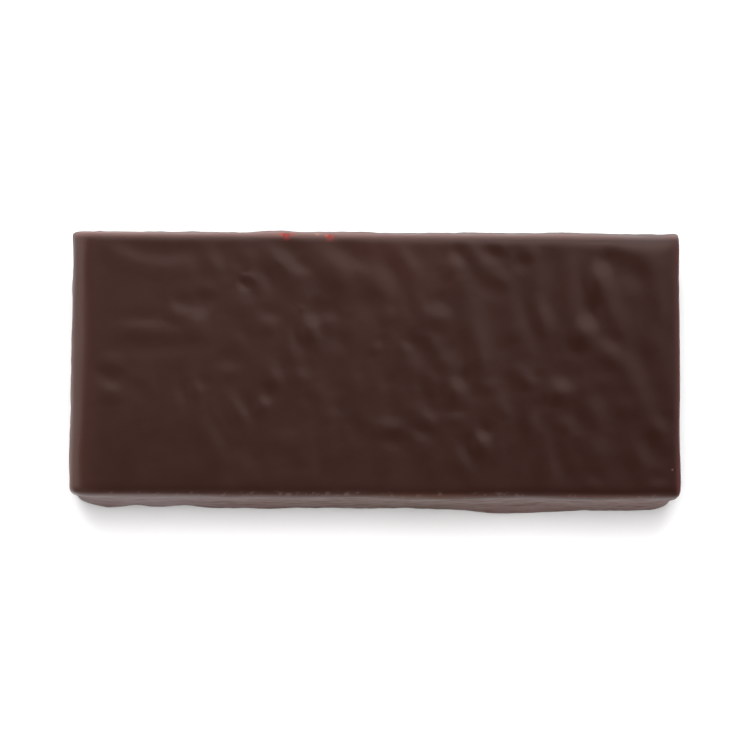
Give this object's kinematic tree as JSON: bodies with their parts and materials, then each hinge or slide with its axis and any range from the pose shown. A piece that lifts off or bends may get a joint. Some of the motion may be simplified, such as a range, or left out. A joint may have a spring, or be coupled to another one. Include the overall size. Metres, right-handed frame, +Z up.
{
  "type": "chocolate bonbon",
  "caption": "Long slim chocolate bonbon with a rippled dark coating, softly rounded edges and a flat base.",
  "frame": {"origin": "middle of the bounding box, on the surface that the bonbon stands on", "axes": "+X along the length, +Y from front to back across the width, +Z up"},
  "size_m": [0.04, 0.0178, 0.0081],
  "materials": {
    "dark_chocolate": null
  },
  "bodies": {
    "root": {"bonbon": "dark_chocolate"}
  },
  "joints": []
}
